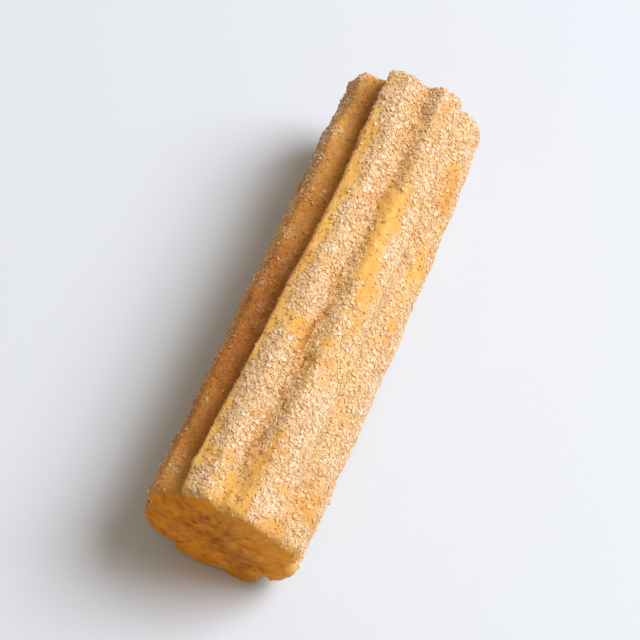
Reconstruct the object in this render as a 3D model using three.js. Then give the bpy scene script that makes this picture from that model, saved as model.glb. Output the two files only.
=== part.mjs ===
// A short length of fried churro: choux dough piped through an eight-point star nozzle,
// snipped at both ends and lying on two of its ridges. One piece, one solid.
// Millimetres. +X runs from the near cut to the far cut, +Z is up.
// Angles about the long axis are degrees from +Z towards -Y.
import * as THREE from "three";

const { degToRad, lerp, smoothstep } = THREE.MathUtils;

// Driving dimensions
const length = 82;
const crestRadius = 12.6;
const shoulder = 0.38; // share of a ridge's half width over which its crest stays level
const nearGirth = 1.03; // the churro is a little thicker at the near cut
const farGirth = 0.995;
const sideBow = 0.5; // how far the middle of the axis bows towards -Y
const restHeight = 11.75; // from the resting plane up to the axis
const twist = 2.2; // degrees by which all ridges sway to and fro along the length
const wander = 0.8; // degrees by which each groove strays by itself
const nearRim = 1.4; // rounding of the edge round each cut
const farRim = 0.9;
const nearDome = 0.6; // how far the middle of each cut face swells outwards
const farDome = 0.4;
const nearInset = 0.2; // how far the grooves stop short of each cut
const farInset = 0.5;
const nearFill = 0.4; // share of the groove depth that is filled at the near cut
const fillLength = 6;
const wearStart = 0.82; // some crests are worn down over this last stretch before the far cut
const wearRun = 0.12;

// Each ridge: the angle of its lower groove at the near and the far cut and that groove's depth,
// how much its crest stands above the mean, leans to one side (in half widths) and is worn
// down, and how far it stops short of the near and the far cut.
const ridges = [
  { near: -36.5, far: -25.5, depth: 2.9, swell: 0.2, lean: -0.25, wear: 0, nearShort: 0.5, farShort: 0.4 },
  { near: 5.6, far: 15, depth: 1.6, swell: 0.15, lean: 0, wear: 0, nearShort: -0.8, farShort: 0.2 },
  { near: 57, far: 50, depth: 1.5, swell: 0, lean: 0, wear: 0, nearShort: 0.8, farShort: 0.8 },
  { near: 100, far: 99, depth: 2.2, swell: 0.2, lean: 0.1, wear: 0.8, nearShort: -0.4, farShort: 1.8 },
  { near: 140, far: 140, depth: 2.8, swell: 0, lean: 0, wear: 0, nearShort: -1.4, farShort: 1.0 },
  { near: 180, far: 180, depth: 3.0, swell: 0, lean: 0, wear: 0, nearShort: -1.3, farShort: 0.7 },
  { near: 230, far: 232, depth: 2.8, swell: 0, lean: 0, wear: 0.5, nearShort: -0.8, farShort: 1.3 },
  { near: 277, far: 284, depth: 1.9, swell: -0.1, lean: -0.35, wear: 0.9, nearShort: 1.5, farShort: 0.1 },
];

// Mesh density
const stations = 48;
const stepsPerRidge = 10;
const rimAngles = [30, 60, 90]; // degrees round the rim's quarter circle
const faceScales = [0.55, 0.25]; // inner rings of a cut face, as shares of its rim

const ridgeAt = (index) => ridges[(index + ridges.length) % ridges.length];

// A slow wave along the churro between -1 and 1, different for each ridge.
function wave(t, ridge, waves, shift) {
  return Math.sin(2 * Math.PI * (waves * t + shift * (ridge + 1)));
}

// The angle of a ridge's lower groove at t, from 0 at the near cut to 1 at the far cut.
function grooveAngle(t, index) {
  const { near, far } = ridgeAt(index);
  const sway = wander * wave(t, index % ridges.length, 1.7, 0.37) - twist * Math.sin(2 * Math.PI * t);
  return lerp(near, far, t) + sway + 360 * Math.floor(index / ridges.length);
}

// How high a ridge's crest stands from the axis.
function crestHeight(t, ridge) {
  const { swell, wear } = ridges[ridge];
  const lumps = 0.2 * wave(t, ridge, 1.9, 0.29) + 0.13 * wave(t, ridge, 5.2, 0.61);
  const worn = wear * smoothstep(t, wearStart, wearStart + wearRun);
  return crestRadius * lerp(nearGirth, farGirth, t) + swell + lumps - worn;
}

// How low a ridge's lower groove lies from the axis: the grooves fill up towards the near cut.
function grooveHeight(t, index) {
  const filled = nearFill * (1 - smoothstep(t * length, 0, fillLength));
  return lerp(nearGirth, farGirth, t) * (crestRadius - ridgeAt(index).depth * (1 - filled));
}

// How far short of a cut the dough stops, at u across a ridge from groove (-1) to groove (1).
function shortfall(side, ridge, u, flank, inset) {
  const own = ridgeAt(ridge)[side];
  const beside = ridgeAt(ridge + (u > 0 ? 1 : -1))[side];
  return lerp(own, (own + beside) / 2, smoothstep(Math.abs(u), 0, 1)) + inset * flank;
}

// A point on the dough; scale pulls it towards the axis and push moves it along the axis.
function pointOn(ridge, u, { t, scale, push }) {
  const angle = degToRad(lerp(grooveAngle(t, ridge), grooveAngle(t, ridge + 1), (u + 1) / 2));
  const leaned = u - ridges[ridge].lean * (1 - u ** 2);
  const flank = smoothstep(Math.abs(leaned), shoulder, 1); // 0 on the crest, 1 in the groove
  const groove = grooveHeight(t, u > 0 ? ridge + 1 : ridge);
  const radius = scale * lerp(crestHeight(t, ridge), groove, flank);
  const across = -radius * Math.sin(angle) - sideBow * Math.sin(Math.PI * t);
  const up = radius * Math.cos(angle) + restHeight;
  const nearEnd = -length / 2 + shortfall("nearShort", ridge, u, flank, nearInset) * scale ** 3;
  const farEnd = length / 2 - shortfall("farShort", ridge, u, flank, farInset) * scale ** 3;
  return [lerp(nearEnd, farEnd, t) + push, across, Math.max(up, 0)];
}

// The rings of one cut, from the rim's start to the middle of the face.
function cutRings(side, rim, dome) {
  const depth = (angle) => (rim * (1 - Math.sin(degToRad(angle)))) / length;
  const inner = (angle) => 1 - (rim / crestRadius) * (1 - Math.cos(degToRad(angle)));
  const edge = rimAngles.map((angle) => ({ depth: depth(angle), scale: inner(angle), push: 0 }));
  const face = faceScales.map((scale) => ({ depth: 0, scale, push: dome * (1 - scale ** 2) }));
  return [...edge, ...face].map((ring) => ({
    t: side < 0 ? ring.depth : 1 - ring.depth,
    scale: ring.scale,
    push: side * ring.push,
  }));
}

// The dough as one closed skin: the rings joined by quads, and a fan over the middle of each face.
function doughGeometry() {
  const body = Array.from({ length: stations }, (_, i) => ({
    t: lerp(nearRim / length, 1 - farRim / length, i / (stations - 1)),
    scale: 1,
    push: 0,
  }));
  const nearCut = cutRings(-1, nearRim, nearDome).reverse();
  const farCut = cutRings(1, farRim, farDome);
  const rings = [...nearCut, ...body, ...farCut];
  const around = ridges.length * stepsPerRidge;
  const positions = rings.flatMap((ring) =>
    Array.from({ length: around }, (_, j) => {
      const u = (2 * (j % stepsPerRidge)) / stepsPerRidge - 1;
      return pointOn(Math.floor(j / stepsPerRidge), u, ring);
    }).flat(),
  );
  const nearMiddle = positions.length / 3;
  const farMiddle = nearMiddle + 1;
  positions.push(...pointOn(0, 0, { t: 0, scale: 0, push: -nearDome }));
  positions.push(...pointOn(0, 0, { t: 1, scale: 0, push: farDome }));

  const faces = [];
  const last = (rings.length - 1) * around;
  for (let j = 0; j < around; j++) {
    const next = (j + 1) % around;
    for (let row = 0; row < last; row += around) {
      const [a, b] = [row + j, row + next];
      faces.push(a, b, a + around, b, b + around, a + around);
    }
    faces.push(nearMiddle, next, j);
    faces.push(farMiddle, last + j, last + next);
  }

  const geometry = new THREE.BufferGeometry();
  geometry.setAttribute("position", new THREE.Float32BufferAttribute(positions, 3));
  geometry.setIndex(faces);
  geometry.computeVertexNormals();
  return geometry;
}

// Moves the part so that the middle of its box stands over the origin.
function centred(geometry) {
  geometry.computeBoundingBox();
  const middle = geometry.boundingBox.getCenter(new THREE.Vector3());
  return geometry.translate(-middle.x, -middle.y, 0);
}

const crust = new THREE.MeshStandardMaterial({ color: 0xd9983f, roughness: 0.75, metalness: 0 });
const churro = new THREE.Mesh(centred(doughGeometry()), crust);
churro.name = "churro";

const group = new THREE.Group();
group.add(churro);
export default group;
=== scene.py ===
import bmesh
import bpy
import numpy as np
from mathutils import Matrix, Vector


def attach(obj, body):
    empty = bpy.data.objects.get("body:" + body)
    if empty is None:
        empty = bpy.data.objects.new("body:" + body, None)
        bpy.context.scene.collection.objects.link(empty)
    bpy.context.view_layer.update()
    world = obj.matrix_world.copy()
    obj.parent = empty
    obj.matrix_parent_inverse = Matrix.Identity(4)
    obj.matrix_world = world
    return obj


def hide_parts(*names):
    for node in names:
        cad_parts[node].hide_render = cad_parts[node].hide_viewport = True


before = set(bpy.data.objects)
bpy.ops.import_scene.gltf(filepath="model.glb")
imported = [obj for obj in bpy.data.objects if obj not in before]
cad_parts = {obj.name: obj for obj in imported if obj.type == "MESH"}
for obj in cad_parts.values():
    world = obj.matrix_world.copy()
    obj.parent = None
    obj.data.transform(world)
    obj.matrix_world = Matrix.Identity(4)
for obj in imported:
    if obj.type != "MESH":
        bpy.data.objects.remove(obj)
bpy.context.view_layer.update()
print("frame loaded:", sorted(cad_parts))

mm = 0.001
tiny = 1e-9  # keeps divisions by a length safe where the length is nought


def fromHex(code):
    # sRGB hex to linear colour: c / 12.92 up to 0.04045, ((c + 0.055) / 1.055) ^ 2.4 above it
    srgb = np.array([int(code[i : i + 2], 16) for i in (1, 3, 5)]) / 255
    linear = np.where(srgb <= 0.04045, srgb / 12.92, ((srgb + 0.055) / 1.055) ** 2.4)
    return (*linear.tolist(), 1.0)


def addNode(tree, kind, inputs, **settings):
    # inputs: a socket's name or number to its value, a hex colour, or the output that feeds it
    node = tree.nodes.new(kind)
    for name, value in settings.items():
        setattr(node, name, value)
    for name, value in inputs.items():
        if isinstance(value, bpy.types.NodeSocket):
            tree.links.new(value, node.inputs[name])
        else:
            node.inputs[name].default_value = fromHex(value) if isinstance(value, str) else value
    return node


def mix(a, b, share):
    # a at share 0, b at share 1, in proportion in between
    return a + (b - a) * share


def smoothStep(x, low, high):
    # 3 s^2 - 2 s^3 with s = (x - low) / (high - low) held between 0 and 1
    s = np.clip((x - low) / (high - low), 0, 1)
    return s * s * (3 - 2 * s)


latticeSide = 64
latticeSeed = 11
lattice = np.random.default_rng(latticeSeed).uniform(-1, 1, (latticeSide,) * 3)

# where each noise starts on the lattice, in cells, so that no two of them line up
noiseShift = {
    "lump": 0.0,
    "draw": 0.0,  # on coordinates of its own
    "pebble": 1.7,
    "skinGrain": 5.9,
    "bridge": 2.9,
    "blister": 7.3,
    "pore": 3.1,
    "poreEdge": 9.2,
    "crumb": 6.4,
    "coatPatch": 2.2,
    "coatClump": 8.8,
    "brownSide": 4.6,
    "brownCut": 6.1,
}


def latticeNoise(points, cell, name):
    # random values on a cubic lattice with this cell size, blended smoothly in between: -1..1
    q = points / cell + noiseShift[name]
    low = np.floor(q).astype(int)
    f = q - low
    f = f * f * (3 - 2 * f)
    total = 0.0
    for corner in np.ndindex(2, 2, 2):
        weight = np.prod(np.where(corner, f, 1 - f), axis=-1)
        i, j, k = np.moveaxis((low + corner) % latticeSide, -1, 0)
        total = total + weight * lattice[i, j, k]
    return total


def makePiece(name, points, faces, bakePlaces, material, slot, **values):
    # points in millimetres; bakePlaces: (u, v) for each corner of each face; values: one number a point
    mesh = bpy.data.meshes.new(name)
    mesh.from_pydata((points * mm).tolist(), [], faces.tolist())
    mesh.uv_layers.new(name="OFBake").uv.foreach_set("vector", bakePlaces.astype(np.float32).ravel())
    for key, value in values.items():
        attribute = mesh.attributes.new(key, "FLOAT", "POINT")
        attribute.data.foreach_set("value", value.astype(np.float32).ravel())
    mesh.materials.append(material)
    piece = bpy.data.objects.new(name, mesh)
    bpy.context.scene.collection.objects.link(piece)
    return piece


# the form of the dough, the same as the solid's
dough = {
    "length": 82.0,
    "crestRadius": 12.6,
    "shoulder": 0.38,  # share of a ridge's half width over which its crest stays level
    "nearGirth": 1.03,
    "farGirth": 0.995,
    "sideBow": 0.5,
    "restHeight": 11.75,
    "twist": 2.2,
    "wander": 0.8,
    "wanderWave": (1.7, 0.37),  # waves along the churro, shift from ridge to ridge
    "crestWaves": [(0.2, 1.9, 0.29), (0.13, 5.2, 0.61)],  # height, waves, shift
    "nearRim": 1.4,
    "farRim": 0.9,
    "nearDome": 0.6,
    "farDome": 0.4,
    "nearInset": 0.2,
    "farInset": 0.5,
    "nearFill": 0.4,
    "fillLength": 6.0,
    "wearStart": 0.82,  # some crests are worn down over the last stretch before the far cut
    "wearRun": 0.12,
    "ridges": [
        # its groove's angle at the near and far cut, that groove's depth, the crest's swell, lean and
        # wear, how far the ridge stops short of the near and far cut
        (-36.5, -25.5, 2.9, 0.2, -0.25, 0.0, 0.5, 0.4),
        (5.6, 15.0, 1.6, 0.15, 0.0, 0.0, -0.8, 0.2),
        (57.0, 50.0, 1.5, 0.0, 0.0, 0.0, 0.8, 0.8),
        (100.0, 99.0, 2.2, 0.2, 0.1, 0.8, -0.4, 1.8),
        (140.0, 140.0, 2.8, 0.0, 0.0, 0.0, -1.4, 1.0),
        (180.0, 180.0, 3.0, 0.0, 0.0, 0.0, -1.3, 0.7),
        (230.0, 232.0, 2.8, 0.0, 0.0, 0.5, -0.8, 1.3),
        (277.0, 284.0, 1.9, -0.1, -0.35, 0.9, 1.5, 0.1),
    ],
}
ridgeCount = len(dough["ridges"])
nearAngle, farAngle, depth, swell, lean, wear, nearShort, farShort = np.array(dough["ridges"]).T


def wave(t, k, waves, shift):
    # sin(2 pi (waves t + shift (k + 1))): a slow wave along the churro, different for each ridge
    return np.sin(2 * np.pi * (waves * t + shift * (k + 1)))


def grooveAngle(t, index):
    # near to far in proportion to t, plus wander * wave, minus twist * sin(2 pi t)
    k = index % ridgeCount
    sway = dough["wander"] * wave(t, k, *dough["wanderWave"]) - dough["twist"] * np.sin(2 * np.pi * t)
    return mix(nearAngle[k], farAngle[k], t) + sway + 360 * (index // ridgeCount)


def girth(t):
    # share of the crest radius, near to far in proportion to t
    return mix(dough["nearGirth"], dough["farGirth"], t)


def crestHeight(t, k):
    # girth * crest radius + swell + the crest's waves - wear towards the far cut
    lumps = sum(height * wave(t, k, waves, shift) for height, waves, shift in dough["crestWaves"])
    worn = wear[k] * smoothStep(t, dough["wearStart"], dough["wearStart"] + dough["wearRun"])
    return girth(t) * dough["crestRadius"] + swell[k] + lumps - worn


def grooveHeight(t, k):
    # girth * (crest radius - groove's depth), the depth less where the near cut has closed the groove
    filled = dough["nearFill"] * (1 - smoothStep(t * dough["length"], 0, dough["fillLength"]))
    return girth(t) * (dough["crestRadius"] - depth[k] * (1 - filled))


def shortfall(short, k, u, flank, inset):
    # a ridge's own shortfall on its crest, the mean of two ridges in their groove, plus inset on the flanks
    beside = short[(k + np.where(u > 0, 1, -1)) % ridgeCount]
    return mix(short[k], (short[k] + beside) / 2, smoothStep(np.abs(u), 0, 1)) + inset * flank


def doughForm(s, t, scale, push):
    # s: 0..8 round the churro, whole in the grooves; t: 0 near cut, 1 far cut; u = -1..1 across a ridge
    # radius = scale * (crest height to groove height by a smooth step of |u - lean (1 - u^2)|); what a ridge
    # falls short of a cut fades with scale^3 towards the cut's middle
    k = np.floor(s).astype(int) % ridgeCount
    u = 2 * (s % 1) - 1
    angle = np.radians(mix(grooveAngle(t, k), grooveAngle(t, k + 1), (u + 1) / 2))
    flank = smoothStep(np.abs(u - lean[k] * (1 - u**2)), dough["shoulder"], 1)
    groove = grooveHeight(t, (k + (u > 0)) % ridgeCount)
    radius = scale * mix(crestHeight(t, k), groove, flank)
    across = -radius * np.sin(angle) - dough["sideBow"] * np.sin(np.pi * t)
    up = np.maximum(radius * np.cos(angle) + dough["restHeight"], 0)
    half = dough["length"] / 2
    nearEnd = -half + shortfall(nearShort, k, u, flank, dough["nearInset"]) * scale**3
    farEnd = half - shortfall(farShort, k, u, flank, dough["farInset"]) * scale**3
    return np.stack([mix(nearEnd, farEnd, t) + push, across, up], axis=-1)


# what frying adds to the form, and how finely the skin is divided
skin = {
    "stepsPerRidge": 32,
    "bodyRows": 300,
    "rimRows": 6,
    "faceRows": 34,
    "poleGap": 1e-5,  # points nearer than this become one in the middles of the cuts
    "cutEdge": (0.89, 0.99),  # shares of the radius between which a cut face turns into the side
    "groovePower": 4,  # a place counts as in a groove by |u| to this power
    "flatHeight": 0.8,  # the skin's relief fades out below this, so the resting flats stay flat
    "lumpCell": 6.0,
    "lumpHeight": 0.20,
    "pebbleCell": 1.7,
    "pebbleHeight": 0.11,
    "grainCell": 0.75,
    "grainHeight": 0.05,
    "blisterCell": 2.6,
    "blisterHeight": 0.6,
    "blisterFrom": 0.42,  # noise level above which the skin rises into a blister
    "drawLength": 9.0,  # faint draw marks left by the nozzle run along the ridges
    "drawWidth": 0.09,  # in ridge widths
    "drawHeight": 0.07,
    "bridgeCell": 3.2,  # here and there the grooves have closed a little
    "bridgeHeight": 0.9,
    "crumbs": [
        # the torn crumb of the cut faces: cell, height, how much browner the raised parts are
        (2.4, 0.28, 0.35),
        (1.1, 0.18, 0.45),
        (0.7, 0.09, 0.25),
    ],
    "poreCell": 1.6,  # small ragged holes in the cut faces
    "poreDepth": 0.4,
    "poreFrom": 0.25,
    "poreRaggedness": 0.5,
}


def cutRows(rim, dome):
    # a quarter circle round the rim, then the face to its middle: depth, scale and push of each row
    a = np.radians(np.linspace(0, 90, skin["rimRows"] + 1))[1:]
    edge = np.stack([rim * (1 - np.sin(a)), 1 - rim / dough["crestRadius"] * (1 - np.cos(a)), 0 * a])
    scale = np.linspace(edge[1, -1], 0, skin["faceRows"] + 1)[1:]
    face = np.stack([0 * scale, scale, dome * (1 - scale**2)])
    return np.concatenate([edge, face], axis=1)


def friedSkin():
    # the form on a grid (rows from the near face's middle to the far face's, columns round the churro),
    # moved out along its normals by lumps + pebbles + grain, on the sides also by blisters + draw marks and
    # in the grooves by bridges, on the cut faces by the sizes of crumb - pores
    near, far = cutRows(dough["nearRim"], dough["nearDome"]), cutRows(dough["farRim"], dough["farDome"])
    span = dough["length"]
    body = np.linspace(dough["nearRim"] / span, 1 - dough["farRim"] / span, skin["bodyRows"])
    rowT = np.concatenate([near[0, ::-1] / span, body, 1 - far[0] / span])
    rowScale = np.concatenate([near[1, ::-1], np.ones_like(body), far[1]])
    rowPush = np.concatenate([-near[2, ::-1], np.zeros_like(body), far[2]])
    s, t = np.meshgrid(np.arange(ridgeCount * skin["stepsPerRidge"]) / skin["stepsPerRidge"], rowT)
    scale = np.repeat(rowScale[:, None], s.shape[1], axis=1)
    form = doughForm(s, t, scale, rowPush[:, None])
    centre = (form.min((0, 1)) + form.max((0, 1))) / 2
    form[..., :2] -= centre[:2]  # the solid's box is centred over the origin

    normal = np.cross(np.roll(form, -1, 1) - np.roll(form, 1, 1), np.gradient(form, axis=0))
    normal /= np.maximum(np.linalg.norm(normal, axis=-1, keepdims=True), tiny)
    normal[0], normal[-1] = (-1, 0, 0), (1, 0, 0)  # the middles of the cuts look straight out

    cutFace = 1 - smoothStep(scale, *skin["cutEdge"])
    side = 1 - cutFace
    drawn = np.stack([t * span / skin["drawLength"], s / skin["drawWidth"], 0 * s], -1)
    groove = np.abs(2 * (s % 1) - 1) ** skin["groovePower"] * side
    bridge = np.maximum(latticeNoise(form, skin["bridgeCell"], "bridge"), 0) * groove
    blister = np.maximum(latticeNoise(form, skin["blisterCell"], "blister") - skin["blisterFrom"], 0)
    poreEdge = skin["poreRaggedness"] * latticeNoise(form, skin["grainCell"], "poreEdge")
    ragged = latticeNoise(form, skin["poreCell"], "pore") + poreEdge
    pore = np.maximum(ragged - skin["poreFrom"], 0) * cutFace
    crumb = [latticeNoise(form, cell, "crumb") * cutFace for cell, _, _ in skin["crumbs"]]
    relief = (
        skin["lumpHeight"] * latticeNoise(form, skin["lumpCell"], "lump")
        + skin["pebbleHeight"] * latticeNoise(form, skin["pebbleCell"], "pebble")
        + skin["grainHeight"] * latticeNoise(form, skin["grainCell"], "skinGrain")
        + skin["blisterHeight"] * blister * side
        + skin["drawHeight"] * latticeNoise(drawn, 1.0, "draw") * side
        + skin["bridgeHeight"] * bridge
        + sum(height * noise for (_, height, _), noise in zip(skin["crumbs"], crumb))
        - skin["poreDepth"] * pore
    )
    relief *= smoothStep(form[..., 2], 0.0, skin["flatHeight"])
    points = form + normal * relief[..., None]
    points[..., 2] = np.maximum(points[..., 2], 0)
    return {
        "points": points,
        "normal": normal,
        "s": s,
        "t": t,
        "cut": cutFace,
        "groove": groove,
        "middle": 1 - scale,
        "pore": pore,
        "crumb": sum(browner * noise for (_, _, browner), noise in zip(skin["crumbs"], crumb)),
    }


def patchwork(surface, patches):
    # sum of amount * exp(-(across / spread)^2 - (along / reach)^2), measured from each patch's middle:
    # across in ridge numbers (0 to 8 round the churro, whole in the grooves), along from 0 at the near
    # cut to 1 at the far cut
    total = 0.0
    for across, spread, along, reach, amount in patches:
        away = (surface["s"] - across + ridgeCount / 2) % ridgeCount - ridgeCount / 2
        total = total + amount * np.exp(-((away / spread) ** 2) - ((surface["t"] - along) / reach) ** 2)
    return total


# where the sugar clings, in crystals' share of the skin
coat = {
    "everywhere": 0.44,
    "least": 0.07,
    "patchCell": 3.6,
    "patchAmount": 0.34,
    "clumpCell": 1.3,
    "clumpAmount": 0.28,
    "nearEdge": (0.2, 2.2),  # the sugar has rubbed off the near cut's edge over this stretch
    "nearEdgeLoss": 0.5,
    "offTable": (0.3, 1.2),  # heights between which the sugar starts above the resting flats
    "onNearCut": 0.006,
    "onFarCut": 0.03,
    "patches": [
        # across, spread, along, reach, amount
        (0.22, 0.17, 0.64, 0.24, -0.75),  # bare shoulder of the ridge on top
        (0.18, 0.14, 0.10, 0.12, -0.55),
        (0.13, 0.11, 0.32, 0.24, -0.55),
        (0.57, 0.24, 0.11, 0.15, 0.08),
        (0.52, 0.32, 0.90, 0.12, 0.30),
        (0.68, 0.14, 0.75, 0.09, 0.35),
        (0.37, 0.10, 0.27, 0.02, 0.60),
        (0.78, 0.05, 0.815, 0.012, 0.60),  # a thin strand across the groove
        (0.86, 0.05, 0.80, 0.012, 0.60),
        (0.94, 0.05, 0.79, 0.012, 0.60),
        # more sugar on the groove's shaded wall: painted light
        (1.10, 0.08, 0.33, 0.24, 0.22),  # groove
        (0.91, 0.07, 0.38, 0.08, -0.30),
        # more sugar on the groove's shaded wall: painted light
        (1.09, 0.07, 0.435, 0.04, 0.55),
        (0.98, 0.07, 0.27, 0.03, 0.25),
        (0.95, 0.14, 0.24, 0.05, 0.60),
        (1.15, 0.07, 0.34, 0.05, -0.45),
        (0.36, 0.08, 0.22, 0.14, -0.12),
        (0.42, 0.20, 0.02, 0.03, 0.45),
        (1.45, 0.15, 0.05, 0.03, 0.35),
        (2.20, 0.50, 0.02, 0.03, 0.25),
        (0.66, 0.14, 0.495, 0.025, 0.35),
        (0.88, 0.08, 0.485, 0.025, 0.30),
        (1.03, 0.12, 0.22, 0.06, 0.12),
        # less sugar on a spot of the top ridge's shoulder: painted shade
        (0.20, 0.10, 0.53, 0.06, -0.25),
        (0.45, 0.12, 0.58, 0.12, 0.22),
        (1.20, 0.10, 0.07, 0.08, -0.85),
        (1.33, 0.05, 0.05, 0.06, 0.15),
        (0.95, 0.12, 0.07, 0.04, -0.30),
        (2.30, 0.45, 0.06, 0.05, -0.30),
        (1.15, 0.10, 0.82, 0.06, -0.10),
        # more sugar on a shaded flank by the far cut: painted light
        (1.20, 0.16, 0.94, 0.05, 0.50),
        (1.27, 0.15, 0.69, 0.06, -0.85),  # bare patch
        (1.32, 0.18, 0.57, 0.06, -0.45),
        (1.55, 0.26, 0.21, 0.08, 0.50),
        (1.42, 0.12, 0.50, 0.60, -0.12),
        (1.70, 0.20, 0.02, 0.03, -0.75),
        (1.80, 0.18, 0.84, 0.09, 0.45),
        (1.62, 0.12, 0.47, 0.05, -0.40),
        (2.05, 0.10, 0.70, 0.35, 0.15),
        (2.00, 0.30, 0.99, 0.03, 0.30),
        (1.90, 0.10, 0.50, 0.04, 0.35),
        (2.07, 0.12, 0.42, 0.05, 0.40),
        (2.10, 0.10, 0.32, 0.05, -0.20),
        (2.30, 0.14, 0.84, 0.06, -0.20),
        (2.45, 0.20, 0.94, 0.05, 0.25),
        (1.88, 0.20, 0.50, 0.60, 0.18),
        (0.52, 0.08, 0.18, 0.12, 0.15),
        (1.80, 0.25, 0.97, 0.05, 0.35),
        (2.60, 0.15, 0.43, 0.10, 0.25),
        (2.25, 0.25, 0.24, 0.12, 0.28),
        (2.62, 0.08, 0.25, 0.20, 0.35),
        (2.85, 0.12, 0.30, 0.12, -0.45),
        (2.28, 0.12, 0.40, 0.35, -0.20),
        (2.50, 0.30, 0.72, 0.14, -0.35),
        (2.20, 0.60, 0.50, 0.60, 0.05),
        # less sugar on the ridge turned away from the key light: partly real, partly painted shade
        (7.60, 0.50, 0.50, 1.20, -0.38),
        (7.60, 0.50, 0.15, 0.25, -0.25),
        (7.85, 0.25, 0.90, 0.15, -0.30),
    ],
}


def sugarCoat(surface):
    # everywhere + patches + two sizes of noise - loss at the near edge, 0..1; little on the cut faces, none
    # on the resting flats
    points = surface["points"]
    cover = coat["everywhere"] + patchwork(surface, coat["patches"])
    cover += coat["patchAmount"] * latticeNoise(points, coat["patchCell"], "coatPatch")
    cover += coat["clumpAmount"] * latticeNoise(points, coat["clumpCell"], "coatClump")
    cover -= coat["nearEdgeLoss"] * (1 - smoothStep(surface["t"] * dough["length"], *coat["nearEdge"]))
    cover = np.clip(cover, coat["least"], 1) * smoothStep(points[..., 2], *coat["offTable"])
    onCut = np.where(surface["t"] < 0.5, coat["onNearCut"], coat["onFarCut"])
    return mix(cover, onCut, surface["cut"])


# where the skin is browner (amount > 0) or paler (< 0): browning from frying, painted shade in the grooves,
# the pores and on the ridge turned from the key light, and painted light on some shaded flanks
browning = {
    "everywhere": 0.36,
    "patchCell": 6.5,
    "patchAmount": 0.24,
    # darker skin in the grooves: painted shade
    "shadeInGrooves": 0.22,
    "cutRim": 0.05,
    "cutMiddle": 0.9,
    "cutCell": 4.0,
    "cutAmount": 0.35,
    # darker skin in the pores: painted shade
    "shadeInPores": 0.4,
    "farShareOfShadedCutColour": 0.45,  # the far cut takes this share of the cut colours; the near cut's full, darker orange is painted shade
    # lighter to the right of the near cut, darker to its left: painted light and painted shade
    "cutLitAndShadedPatches": [(2.50, 0.80, 0.00, 0.10, -0.60), (7.50, 0.80, 0.00, 0.10, 0.15)],
    "patches": [
        # across, spread, along, reach, amount
        # browner ridge turned away from the key light: partly browning, partly painted shade
        (7.85, 0.25, 0.45, 0.50, 0.20),
        (7.90, 0.25, 0.90, 0.10, 0.32),
        (7.50, 0.40, 0.15, 0.14, 0.28),
        (7.55, 0.45, 0.35, 0.60, 0.25),
        (7.62, 0.20, 0.46, 0.16, 0.60),
        (0.95, 0.12, 0.24, 0.05, -0.40),
        (1.15, 0.08, 0.34, 0.05, -0.20),
        (0.93, 0.07, 0.37, 0.09, 0.22),
        (1.02, 0.12, 0.23, 0.06, -0.20),
        (2.45, 0.15, 0.93, 0.08, 0.25),
        # paler skin on the groove's shaded wall: painted light
        (1.09, 0.07, 0.435, 0.04, -0.50),
        # brown spot on the top ridge's shoulder: painted shade
        (0.20, 0.09, 0.53, 0.06, 0.75),
        (0.42, 0.15, 0.20, 0.15, -0.35),
        (0.45, 0.15, 0.60, 0.10, -0.30),
        (1.42, 0.15, 0.75, 0.35, 0.15),
        (0.93, 0.06, 0.14, 0.05, 0.25),
        (0.82, 0.10, 0.75, 0.25, 0.25),
        # paler skin on the groove's shaded wall: painted light
        (1.12, 0.10, 0.33, 0.25, -0.60),
        # paler skin on a shaded flank by the far cut: painted light
        (1.20, 0.14, 0.95, 0.09, -0.70),
        (1.70, 0.20, 0.02, 0.03, 0.15),
        (1.27, 0.20, 0.69, 0.08, -0.32),
        (0.20, 0.18, 0.50, 0.70, -0.60),
        (2.10, 0.80, 0.50, 0.80, -0.10),
        (1.95, 0.20, 0.50, 0.70, -0.20),
        (2.30, 0.14, 0.84, 0.06, 0.35),
    ],
}


def brownAndShadeOf(surface):
    # on the sides everywhere + painted shade in the grooves + patches + noise, on the cut faces rim + middle
    # + painted shade in the pores + patches + noise + crumb, 0..1; the patches hold painted light and
    #   painted shade too
    points = surface["points"]
    onSide = browning["everywhere"] + browning["shadeInGrooves"] * surface["groove"]
    onSide = onSide + patchwork(surface, browning["patches"])
    onSide += browning["patchAmount"] * latticeNoise(points, browning["patchCell"], "brownSide")
    onCut = browning["cutRim"] + browning["cutMiddle"] * surface["middle"]
    onCut = onCut + browning["shadeInPores"] * surface["pore"] + patchwork(surface, browning["cutLitAndShadedPatches"])
    onCut += browning["cutAmount"] * latticeNoise(points, browning["cutCell"], "brownCut") + surface["crumb"]
    return np.clip(mix(onSide, onCut, surface["cut"]), 0, 1)


# how much darker and more golden the sugar's tone is made: oil and cinnamon in part, mostly painted shade in
# the grooves, on thin coats and on the ridge turned from the key light
soakAndShade = {
    "perBrownAndShade": 1.6,
    "brownFrom": 0.5,
    "perThin": 1.6,
    "thinBelow": 0.35,
    # darker sugar in the grooves: painted shade
    "shadeInGrooves": 0.6,
}


def soakedUp(surface):
    # per brown * (brown - brown from) + per thin * (thin below - coat), each where that is above 0, +
    # painted shade in grooves * the root of the groove + clot, 0..1: mostly painted shade on the sugar, oil
    # and cinnamon in part
    onBrownAndShade = soakAndShade["perBrownAndShade"] * np.maximum(surface["brown"] - soakAndShade["brownFrom"], 0)
    whereThin = soakAndShade["perThin"] * np.maximum(soakAndShade["thinBelow"] - surface["coat"], 0)
    shadeInGrooves = soakAndShade["shadeInGrooves"] * np.sqrt(surface["groove"])
    return np.clip(onBrownAndShade + whereThin + shadeInGrooves + surface["clot"], 0, 1)


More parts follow.
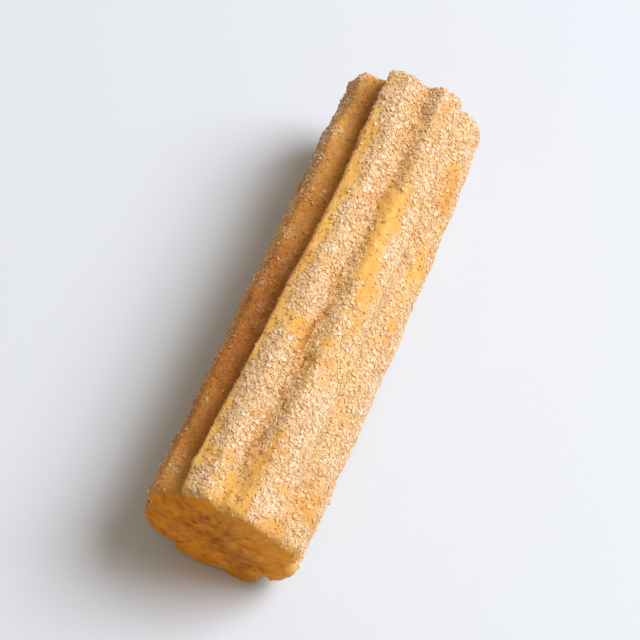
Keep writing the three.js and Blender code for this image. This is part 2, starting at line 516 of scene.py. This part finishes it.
def makeDough(surface, material):
    # one quad for each cell of the grid; the rows at the two middles close when their points merge
    points = surface["points"]
    rows, columns = points.shape[:2]
    i, j = np.indices((rows - 1, columns))
    after = (j + 1) % columns
    cells = [i * columns + j, i * columns + after, (i + 1) * columns + after, (i + 1) * columns + j]
    steps = np.linalg.norm(np.diff(points[:, 0], axis=0), axis=-1)
    height = np.concatenate([[0], np.cumsum(steps)]) / steps.sum()
    across = np.stack([j, j + 1, j + 1, j], -1) / columns
    along = np.stack([height[i], height[i], height[i + 1], height[i + 1]], -1)
    piece = makePiece(
        "dough",
        points.reshape(-1, 3),
        np.stack(cells, -1).reshape(-1, 4),
        np.stack([across, along], -1),
        material,
        "crust",
        coat=surface["coat"],
        brown=surface["brown"],
        # the near cut in full cut colour, darker and more orange: painted shade
        cut=surface["cut"] * np.where(surface["t"] < 0.5, 1.0, browning["farShareOfShadedCutColour"]),
    )
    poles = bmesh.new()
    poles.from_mesh(piece.data)
    bmesh.ops.remove_doubles(poles, verts=poles.verts, dist=skin["poleGap"] * mm)
    poles.to_mesh(piece.data)
    poles.free()
    piece.data.shade_smooth()
    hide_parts("churro")
    return piece


def scatter(surface, density, count, rng):
    # picks grid cells with a chance of area * density, then a place inside each, blended from the
    # cell's four corners; gives the places, the normals there and how far oil and painted shade darken the
    # sugar
    points, normal = surface["points"], surface["normal"]
    beside = np.roll(points, -1, axis=1)
    diagonals = beside[1:] - points[:-1], points[1:] - beside[:-1]
    area = np.linalg.norm(np.cross(*diagonals), axis=-1) / 2
    chance = (area * density[:-1]).ravel()
    i, j = np.unravel_index(rng.choice(chance.size, count, p=chance / chance.sum()), area.shape)
    a, b = rng.random((2, count, 1))
    after = (j + 1) % points.shape[1]
    corners = [(i, j), (i, after), (i + 1, j), (i + 1, after)]
    shares = [(1 - a) * (1 - b), a * (1 - b), (1 - a) * b, a * b]
    place = sum(share * points[corner] for share, corner in zip(shares, corners))
    out = sum(share * normal[corner] for share, corner in zip(shares, corners))
    return place, out / np.linalg.norm(out, axis=-1, keepdims=True), surface["soaked"][i, j]


def grainTurns(normal, tilt, rng):
    # third axis = unit of (normal + tilt * random vector), first axis in a random direction across it
    third = normal + tilt * rng.normal(size=normal.shape)
    third /= np.linalg.norm(third, axis=-1, keepdims=True)
    first = np.cross(third, rng.normal(size=normal.shape))
    first /= np.linalg.norm(first, axis=-1, keepdims=True)
    return np.stack([first, np.cross(third, first), third], axis=-1)


blockCorners = np.array([(x, y, z) for z in (-1, 1) for y in (-1, 1) for x in (-1, 1)]) / 2
blockFaces = np.array([(0, 2, 3, 1), (4, 5, 7, 6), (0, 1, 5, 4), (2, 6, 7, 3), (0, 4, 6, 2), (1, 3, 7, 5)])
flakeCorners = np.array([(1, 0, 0), (-1, 0, 0), (0, 1, 0), (0, -1, 0), (0, 0, 1), (0, 0, -1)]) / 2
flakeFaces = np.array(
    [(0, 2, 4), (2, 1, 4), (1, 3, 4), (3, 0, 4), (2, 0, 5), (1, 2, 5), (3, 1, 5), (0, 3, 5)]
)
grainFloor = 0.02  # no grain reaches lower than this above the table
bakePad = 0.15  # margin in a grain's square of the bake map, as a share of its side


def makeGrains(name, grain, surface, density, material, slot):
    # each grain: template corners, jittered, stretched, turned, and lifted off the skin along its normal
    # its tone = random * (1 - stain * how oily and shaded the sugar is there): the darkening partly painted
    # shade
    rng = np.random.default_rng(grain["seed"])
    count = grain["count"]
    place, normal, soaked = scatter(surface, density, count, rng)
    isBlock = grain["shape"] == "block"
    corners, faces = (blockCorners, blockFaces) if isBlock else (flakeCorners, flakeFaces)
    size = rng.triangular(*grain["size"], size=(count, 1, 1))
    stretch = rng.uniform(*grain["stretch"], size=(count, 1, 3))
    stretch[..., 2] *= grain["flatness"]
    jitter = rng.uniform(-1, 1, (count, len(corners), 3)) * grain["jitter"]
    shaped = (corners + jitter) * size * stretch
    turn = grainTurns(normal, grain["tilt"], rng)
    lift = size[:, 0] * rng.uniform(*grain["lift"], size=(count, 1))
    shaped = np.einsum("nij,ncj->nci", turn, shaped) + (place + normal * lift)[:, None]
    shaped[..., 2] = np.maximum(shaped[..., 2], grainFloor)

    # on the bake map each grain has a small square of its own, which all of its faces share
    side = int(np.ceil(np.sqrt(count)))
    cell = np.stack(np.divmod(np.arange(count), side), -1)[:, None, None]
    tone = rng.uniform(*grain["toneRange"], count) * (1 - grain["stainAndShade"] * soaked)
    unit = np.array([(0, 0), (1, 0), (1, 1), (0, 1)])[: faces.shape[1]] * (1 - 2 * bakePad) + bakePad
    allFaces = faces[None] + len(corners) * np.arange(count)[:, None, None]
    return makePiece(
        name,
        shaped.reshape(-1, 3),
        allFaces.reshape(-1, faces.shape[1]),
        np.broadcast_to((cell + unit) / side, (count, len(faces), faces.shape[1], 2)),
        material,
        slot,
        tone=np.repeat(tone, len(corners)),
    )


def newMaterial(name):
    # a material of one Principled shader, and its node tree
    material = bpy.data.materials.new(name)
    material.use_nodes = True
    return material, material.node_tree


fried = {
    "golden": "#F3C268",
    # toasted, at full brown, is also the colour of the painted shade in grooves, pores and on the shaded
    # ridge
    "toastedAndShaded": "#AC6626",
    "amber": "#DC9A42",
    # the cut colours, taken in full on the near cut, are darker and more orange there as painted shade
    "cutLight": "#FAA62B",
    "cutDark": "#B86414",
    "dust": "#E3C79E",
    "mottle": 1.1,
    "mottleDetail": 4.0,
    "mottleLevels": (0.46, 0.75),  # noise levels between which the amber comes in
    "mottleMost": 0.7,
    "speck": 0.35,
    "speckDetail": 2.0,
    "speckLevels": (0.3, 0.5),  # noise levels between which the dust comes in
    "dustMost": 0.95,
    "dustFullAt": 0.6,  # share of the coat at which the dust is at its most
    "roughness": (0.45, 0.8),  # of bare skin and under a full coat
    "grit": 0.5,
    "gritDetail": 3.0,
    "gritHeight": 0.22,
    "gritStrength": 0.8,
    "specular": 0.04,
    "glow": 0.12,
    "glowDepth": 1.5,
    "glowReach": (1.0, 0.45, 0.15),  # red, green and blue light, in shares of the depth
}
mixShare, mixFirst, mixSecond, mixResult = 0, 6, 7, 2  # a colour mix node's sockets


def friedDough():
    # fried choux skin: golden where it browned least, darker towards toasted with browning and with painted
    # shade in grooves, pores and on the shaded ridge, mottled with amber, more orange on the snipped ends
    # (on the near one as painted shade), and matt and pale under the sugar dust
    material, tree = newMaterial("friedDough")
    shader = tree.nodes["Principled BSDF"]
    place = addNode(tree, "ShaderNodeTexCoord", {}).outputs["Object"]
    coated = addNode(tree, "ShaderNodeAttribute", {}, attribute_name="coat").outputs["Fac"]
    browned = addNode(tree, "ShaderNodeAttribute", {}, attribute_name="brown").outputs["Fac"]
    snipped = addNode(tree, "ShaderNodeAttribute", {}, attribute_name="cut").outputs["Fac"]

    # a cell in millimetres is a noise scale of 1 / (cell * mm) on coordinates in metres
    mottles, specks, grit = [
        addNode(
            tree,
            "ShaderNodeTexNoise",
            {"Vector": place, "Scale": 1 / (fried[cell] * mm), "Detail": fried[cell + "Detail"]},
        ).outputs["Fac"]
        for cell in ("mottle", "speck", "grit")
    ]
    mottleLow, mottleHigh = fried["mottleLevels"]
    mottleShare = addNode(
        tree,
        "ShaderNodeMapRange",
        {"Value": mottles, "From Min": mottleLow, "From Max": mottleHigh, "To Max": fried["mottleMost"]},
    )
    dustMost = addNode(
        tree,
        "ShaderNodeMapRange",
        {"Value": coated, "From Max": fried["dustFullAt"], "To Max": fried["dustMost"]},
    )
    speckLow, speckHigh = fried["speckLevels"]
    dustShare = addNode(
        tree,
        "ShaderNodeMapRange",
        {"Value": specks, "From Min": speckLow, "From Max": speckHigh, "To Max": dustMost.outputs["Result"]},
    )
    toastedAndShaded = addNode(
        tree,
        "ShaderNodeMix",
        {mixShare: browned, mixFirst: fried["golden"], mixSecond: fried["toastedAndShaded"]},
        data_type="RGBA",
    )
    end = addNode(
        tree,
        "ShaderNodeMix",
        {mixShare: browned, mixFirst: fried["cutLight"], mixSecond: fried["cutDark"]},
        data_type="RGBA",
    )
    uncoated = addNode(
        tree,
        "ShaderNodeMix",
        {mixShare: snipped, mixFirst: toastedAndShaded.outputs[mixResult], mixSecond: end.outputs[mixResult]},
        data_type="RGBA",
    )
    bare = addNode(
        tree,
        "ShaderNodeMix",
        {
            mixShare: mottleShare.outputs["Result"],
            mixFirst: uncoated.outputs[mixResult],
            mixSecond: fried["amber"],
        },
        data_type="RGBA",
    )
    skinColour = addNode(
        tree,
        "ShaderNodeMix",
        {mixShare: dustShare.outputs["Result"], mixFirst: bare.outputs[mixResult], mixSecond: fried["dust"]},
        data_type="RGBA",
    )
    tree.links.new(skinColour.outputs[mixResult], shader.inputs["Base Color"])

    smoothest, dullest = fried["roughness"]
    dull = addNode(tree, "ShaderNodeMapRange", {"Value": coated, "To Min": smoothest, "To Max": dullest})
    tree.links.new(dull.outputs["Result"], shader.inputs["Roughness"])
    bump = addNode(
        tree,
        "ShaderNodeBump",
        {"Height": grit, "Strength": fried["gritStrength"], "Distance": fried["gritHeight"] * mm},
    )
    tree.links.new(bump.outputs["Normal"], shader.inputs["Normal"])
    shader.inputs["Specular IOR Level"].default_value = fried["specular"]
    shader.inputs["Subsurface Weight"].default_value = fried["glow"]
    shader.inputs["Subsurface Radius"].default_value = fried["glowReach"]
    shader.inputs["Subsurface Scale"].default_value = fried["glowDepth"] * mm
    return material


# how light spreads in a crystal, in the same terms as in the dough
crystal = {
    "glowDepth": 0.4,
    "glowReach": (1.0, 0.85, 0.7),
}


def grainMaterial(name, grain):
    # each grain takes one colour from the row of tones by its own number: oily sugar and sugar in painted
    # shade look dark and golden, dry sugar pale and a little translucent, and ground cinnamon matt
    material, tree = newMaterial(name)
    tone = addNode(tree, "ShaderNodeAttribute", {}, attribute_name="tone")
    ramp = addNode(tree, "ShaderNodeValToRGB", {"Fac": tone.outputs["Fac"]})
    stops = ramp.color_ramp.elements
    for number, code in enumerate(grain["tones"]):
        at = number / (len(grain["tones"]) - 1)
        stop = stops[number] if number < 2 else stops.new(at)  # a new ramp has two stops
        stop.position, stop.color = at, fromHex(code)
    shader = tree.nodes["Principled BSDF"]
    tree.links.new(ramp.outputs["Color"], shader.inputs["Base Color"])
    shader.inputs["Roughness"].default_value = grain["roughness"]
    shader.inputs["IOR"].default_value = grain["ior"]
    shader.inputs["Subsurface Weight"].default_value = grain["glow"]
    shader.inputs["Subsurface Radius"].default_value = crystal["glowReach"]
    shader.inputs["Subsurface Scale"].default_value = crystal["glowDepth"] * mm
    return material


# granulated sugar 0.3 to 0.5 mm across, its fines, grains browned by cinnamon, and ground cinnamon
grains = {
    # the darkest first tones go to sugar darkened by stain, which is partly painted shade
    "clearSugar": {
        "seed": 21, "count": 16000, "shape": "block", "size": (0.26, 0.38, 0.54), "stretch": (0.8, 1.25),
        "flatness": 0.7, "jitter": 0.13, "tilt": 0.22, "lift": (-0.25, 0.12),
        "tones": ["#D49F54", "#DDBA88", "#E3C69D", "#E7CDAE", "#EDD8C6"], "toneRange": (0.3, 1.0),
        "stainAndShade": 0.95, "roughness": 0.45, "glow": 0.1, "ior": 1.5,
    },
    "fineSugar": {
        "seed": 22, "count": 24500, "shape": "flake", "size": (0.14, 0.24, 0.36), "stretch": (0.8, 1.4),
        "flatness": 0.8, "jitter": 0.15, "tilt": 0.4, "lift": (-0.15, 0.2),
        "tones": ["#D49D52", "#DDB986", "#E1C296", "#E6CCA8"], "toneRange": (0.33, 1.0),
        "stainAndShade": 0.95, "roughness": 0.45, "glow": 0.1, "ior": 1.5,
    },
    "spicedSugar": {
        "seed": 23, "count": 12000, "shape": "block", "size": (0.24, 0.34, 0.48), "stretch": (0.8, 1.25),
        "flatness": 0.7, "jitter": 0.13, "tilt": 0.22, "lift": (-0.25, 0.1),
        "tones": ["#C08240", "#CF9F64", "#D7AF7C", "#DFBD92"], "toneRange": (0.33, 1.0),
        "stainAndShade": 0.95, "roughness": 0.45, "glow": 0.1, "ior": 1.5,
    },
    "cinnamon": {
        "seed": 24, "count": 14000, "shape": "flake", "size": (0.10, 0.18, 0.34), "stretch": (0.7, 1.4),
        "flatness": 0.45, "jitter": 0.10, "tilt": 0.3, "lift": (0.0, 0.4),
        "tones": ["#B47638", "#C0864A", "#CC9858"], "toneRange": (0.0, 1.0),
        "stainAndShade": 0.0, "roughness": 0.85, "glow": 0.0, "ior": 1.45,
    },
}

# clots and streaks of cinnamon, placed like the coat's patches
clots = [
    (0.66, 0.22, 0.45, 0.60, 0.08),
    (0.97, 0.05, 0.38, 0.16, 0.18),
    (0.92, 0.04, 0.500, 0.010, 0.6),
    (0.98, 0.05, 0.435, 0.013, 1.0),
    (0.93, 0.05, 0.395, 0.012, 1.0),
    (1.05, 0.05, 0.350, 0.012, 0.9),
    (0.93, 0.04, 0.310, 0.010, 0.8),
    (0.97, 0.05, 0.265, 0.012, 0.8),
    (1.10, 0.05, 0.240, 0.010, 0.7),
    (0.94, 0.05, 0.215, 0.012, 0.9),
    (1.00, 0.05, 0.160, 0.014, 0.8),
    (1.75, 0.07, 0.025, 0.012, 0.5),
    (0.12, 0.05, 0.365, 0.015, 0.4),
]

# how each kind of grain is shared out over the skin
clinging = {
    "thickCoat": (0.6, 1.0),  # shares of the coat between which it counts as thick
    "thickLoss": 0.5,
    "clearPower": 1.6,
    "clearLimit": 1.3,  # brown-and-shade value at which no clear sugar would be left
    "finesAnywhere": 0.12,
    "finesClotLoss": 0.8,
    "spicedAnywhere": 0.4,
    "spicedOnBrown": 0.4,
    "cinnamonAnywhere": 0.002,
    "cinnamonInCoat": 0.2,
    "cinnamonOnBrown": 0.3,
    "cinnamonPower": 3,
}


def grainDensities(surface):
    # brown here is the browning together with its painted shade and painted light
    # clear sugar: coat ^ power * (limit - brown) * (1 - clot)
    # fine sugar: off the table, (anywhere on the sides + coat) * (1 - clot loss * clot)
    # spiced sugar: coat * (anywhere + on brown * brown) * (1 - thick loss * thick) * (1 + clot)
    # cinnamon: clot, and off the table anywhere + in coat * coat * (1 - thick loss * thick) + on brown *
    # brown ^ power on the sides
    coated, brown, clot, side = surface["coat"], surface["brown"], surface["clot"], 1 - surface["cut"]
    clear = smoothStep(surface["points"][..., 2], *coat["offTable"])
    loose = 1 - clinging["thickLoss"] * smoothStep(coated, *clinging["thickCoat"])
    fines = clear * (clinging["finesAnywhere"] * side + coated)
    spiced = coated * (clinging["spicedAnywhere"] + clinging["spicedOnBrown"] * brown)
    onBrownAndShade = clinging["cinnamonOnBrown"] * brown ** clinging["cinnamonPower"] * side
    ground = clinging["cinnamonAnywhere"] + clinging["cinnamonInCoat"] * coated * loose + onBrownAndShade
    return {
        "clearSugar": coated ** clinging["clearPower"] * (clinging["clearLimit"] - brown) * (1 - clot),
        "fineSugar": fines * (1 - clinging["finesClotLoss"] * clot),
        "spicedSugar": spiced * loose * (1 + clot),
        "cinnamon": clear * ground + clot,
    }


surface = friedSkin()
surface["coat"] = sugarCoat(surface)
surface["brown"] = brownAndShadeOf(surface)
surface["clot"] = np.clip(patchwork(surface, clots), 0, 1)
surface["soaked"] = soakedUp(surface)
pieces = [makeDough(surface, friedDough())]
print("dough made:", len(pieces[0].data.polygons), "faces")

densities = grainDensities(surface)
for name, grain in grains.items():
    material = grainMaterial(name, grain)
    slot = "cinnamon" if name == "cinnamon" else "sugar"
    pieces.append(makeGrains(name, grain, surface, densities[name], material, slot))
    print("scattered", name, "-", grain["count"], "grains")
for piece in pieces:
    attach(piece, "root")

# a pale table, a camera looking down along the churro from its near end, soft light from the right
stage = {
    "tableSize": 1600.0,
    "tableColour": "#D8E4F6",
    "tableRoughness": 0.6,
    "azimuth": -67.8,
    "elevation": 64.0,
    "distance": 450.0,
    "lens": 158.0,
    "clipStart": 10.0,
    "aim": (0.0, 0.0, 11.5),
    "worldColour": "#F9DFC0",
    "worldStrength": 0.38,
}
lights = [
    # name, to the camera's right, ahead of it, above the table, distance, size, watts, colour
    ("key", 1.0, 0.2, 1.08, 1400.0, 850.0, 25.0, "#FFFCF8"),
]


def makeStage():
    # a square table top at height 0, of matt laminate that looks a cool white, in a room of one warm colour
    side = stage["tableSize"] * mm / 2
    corners = [(-side, -side, 0), (side, -side, 0), (side, side, 0), (-side, side, 0)]
    mesh = bpy.data.meshes.new("table")
    mesh.from_pydata(corners, [], [(0, 1, 2, 3)])
    material, tree = newMaterial("whiteLaminate")
    shader = tree.nodes["Principled BSDF"]
    shader.inputs["Base Color"].default_value = fromHex(stage["tableColour"])
    shader.inputs["Roughness"].default_value = stage["tableRoughness"]
    mesh.materials.append(material)
    table = bpy.data.objects.new("table", mesh)
    bpy.context.scene.collection.objects.link(table)

    world = bpy.data.worlds.new("softRoom")
    world.use_nodes = True
    background = world.node_tree.nodes["Background"]
    background.inputs["Color"].default_value = fromHex(stage["worldColour"])
    background.inputs["Strength"].default_value = stage["worldStrength"]
    bpy.context.scene.world = world
    bpy.context.scene.view_settings.view_transform = "Standard"


def standBack(thing, aim, away):
    # puts a camera or lamp at aim + away, looking back at aim
    thing.location = aim + away
    thing.rotation_euler = (-away).to_track_quat("-Z", "Y").to_euler()
    bpy.context.scene.collection.objects.link(thing)


def makeCameraAndLights():
    # the camera stands back from the aim by azimuth and elevation, each light by its share of the camera's
    # right, of the way ahead and of the way up
    aim = Vector(stage["aim"]) * mm
    turn, rise = np.radians(stage["azimuth"]), np.radians(stage["elevation"])
    back = Vector((np.sin(turn) * np.cos(rise), -np.cos(turn) * np.cos(rise), np.sin(rise)))
    right = Vector((np.cos(turn), np.sin(turn), 0))
    ahead = Vector((-np.sin(turn), np.cos(turn), 0))
    camera = bpy.data.objects.new("camera", bpy.data.cameras.new("camera"))
    camera.data.lens = stage["lens"]
    camera.data.clip_start = stage["clipStart"] * mm
    standBack(camera, aim, back * stage["distance"] * mm)
    bpy.context.scene.camera = camera
    for name, sideways, forward, above, distance, size, power, colour in lights:
        lamp = bpy.data.lights.new(name, "AREA")
        lamp.size, lamp.energy, lamp.color = size * mm, power, fromHex(colour)[:3]
        towards = right * sideways + ahead * forward + Vector((0, 0, above))
        standBack(bpy.data.objects.new(name, lamp), aim, towards.normalized() * distance * mm)


makeStage()
makeCameraAndLights()
print("stage, camera and lights made")
